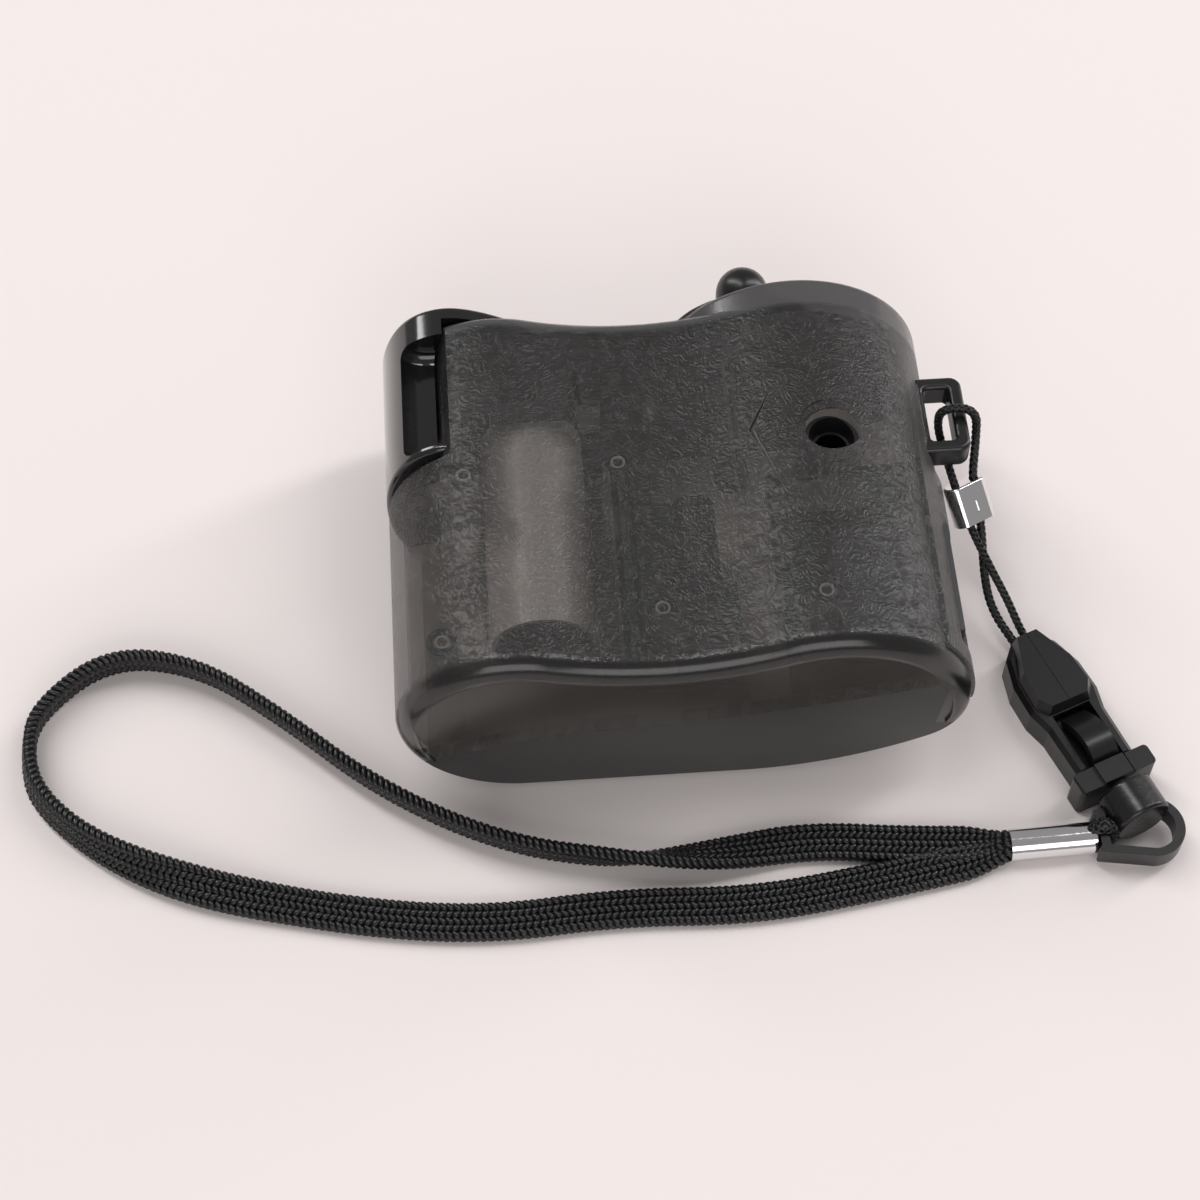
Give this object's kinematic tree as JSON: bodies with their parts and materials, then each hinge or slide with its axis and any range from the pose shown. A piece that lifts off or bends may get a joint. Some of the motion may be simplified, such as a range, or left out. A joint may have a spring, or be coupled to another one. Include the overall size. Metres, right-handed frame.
{
  "type": "hand crank phone charger",
  "caption": "Pocket hand crank charger in smoked plastic with a folding crank, side socket, output jack and a braided wrist lanyard with a quick-release buckle",
  "frame": {"origin": "on the flat of the back, under the middle of the housing and halfway between its plain end and its crank end", "axes": "X along the housing to the side with the socket, Y to the crank end, Z out of the front face; the charger lies on its back"},
  "size_m": [0.1242, 0.0709, 0.0263],
  "materials": {
    "smoked_shell": "smoked translucent plastic, leathery front and smooth rims",
    "smoked_rear": "smoked translucent plastic, plain",
    "inner_black": "moulded black",
    "gear_plastic": "moulded gears",
    "jack_black": "moulded black",
    "crank_black": "fine spark texture",
    "grip_black": "polished",
    "buckle_black": "moulded black",
    "barrel_black": "satin",
    "cord_black": "round braided cord",
    "strap_black": "flat braid",
    "chrome": "bright plated",
    "plain_steel": "plain steel",
    "can_steel": "drawn steel",
    "brass_gear": "machined brass",
    "board_green": "solder mask over glass laminate"
  },
  "bodies": {
    "housing": {"front_shell": "smoked_shell", "rear_shell": "smoked_rear", "shell_screws": "plain_steel", "gear_deck": "inner_black", "idler_pins": "plain_steel", "motor_can": "can_steel", "motor_end_cap": "inner_black", "circuit_board": "board_green", "capacitor": "inner_black", "diodes": "inner_black", "usb_shell": "plain_steel", "usb_tongue": "inner_black", "socket_board": "board_green", "jack_sleeve": "jack_black", "buckle_head": "buckle_black", "buckle_insert": "buckle_black", "strap_ring": "buckle_black", "swivel_barrel": "barrel_black", "ferrule": "chrome", "thin_cord": "cord_black", "cord_clamp": "chrome", "wrist_strap": "strap_black"},
    "crank": {"crank_hub": "crank_black", "drive_gear": "gear_plastic", "hinge_pin": "plain_steel"},
    "arm": {"crank_arm": "crank_black", "crank_grip": "grip_black", "grip_screw": "plain_steel"},
    "idler_1": {"idler_gear_1": "gear_plastic"},
    "idler_2": {"idler_gear_2": "gear_plastic"},
    "rotor_body": {"rotor": "can_steel", "motor_pinion": "brass_gear"},
    "latch": {"buckle_latch": "buckle_black"}
  },
  "joints": [
    {"name": "crank_spin", "type": "hinge", "parent": "housing", "child": "crank", "pos_m": [0.0105, 0.02, 0.0136], "axis": [0, 1, 0], "continuous": true},
    {"name": "arm_fold", "type": "hinge", "parent": "crank", "child": "arm", "pos_m": [0.0104, 0.0278, 0.0135], "axis": [0, 0, -1], "range_deg": [0, 180]},
    {"name": "idler_1_spin", "type": "hinge", "parent": "housing", "child": "idler_1", "pos_m": [-0.00087, 0.02, 0.0144], "axis": [0, 1, 0], "continuous": true},
    {"name": "idler_2_spin", "type": "hinge", "parent": "housing", "child": "idler_2", "pos_m": [-0.00712, 0.02, 0.00973], "axis": [0, 1, 0], "continuous": true},
    {"name": "rotor_spin", "type": "hinge", "parent": "housing", "child": "rotor_body", "pos_m": [-0.0142, 0.02, 0.013], "axis": [0, 1, 0], "continuous": true},
    {"name": "latch_press", "type": "hinge", "parent": "housing", "child": "latch", "pos_m": [0.0449, -0.02547, 0.0032], "axis": [0.9291, 0.3697, 0], "range_deg": [-5, 0], "stiffness_Nm_per_rad": 0.02}
  ],
  "couplings": [
    {"joint": "idler_1_spin", "follows": "crank_spin", "ratio": -3.75},
    {"joint": "idler_2_spin", "follows": "crank_spin", "ratio": 8.4375},
    {"joint": "rotor_spin", "follows": "crank_spin", "ratio": -18.984}
  ]
}
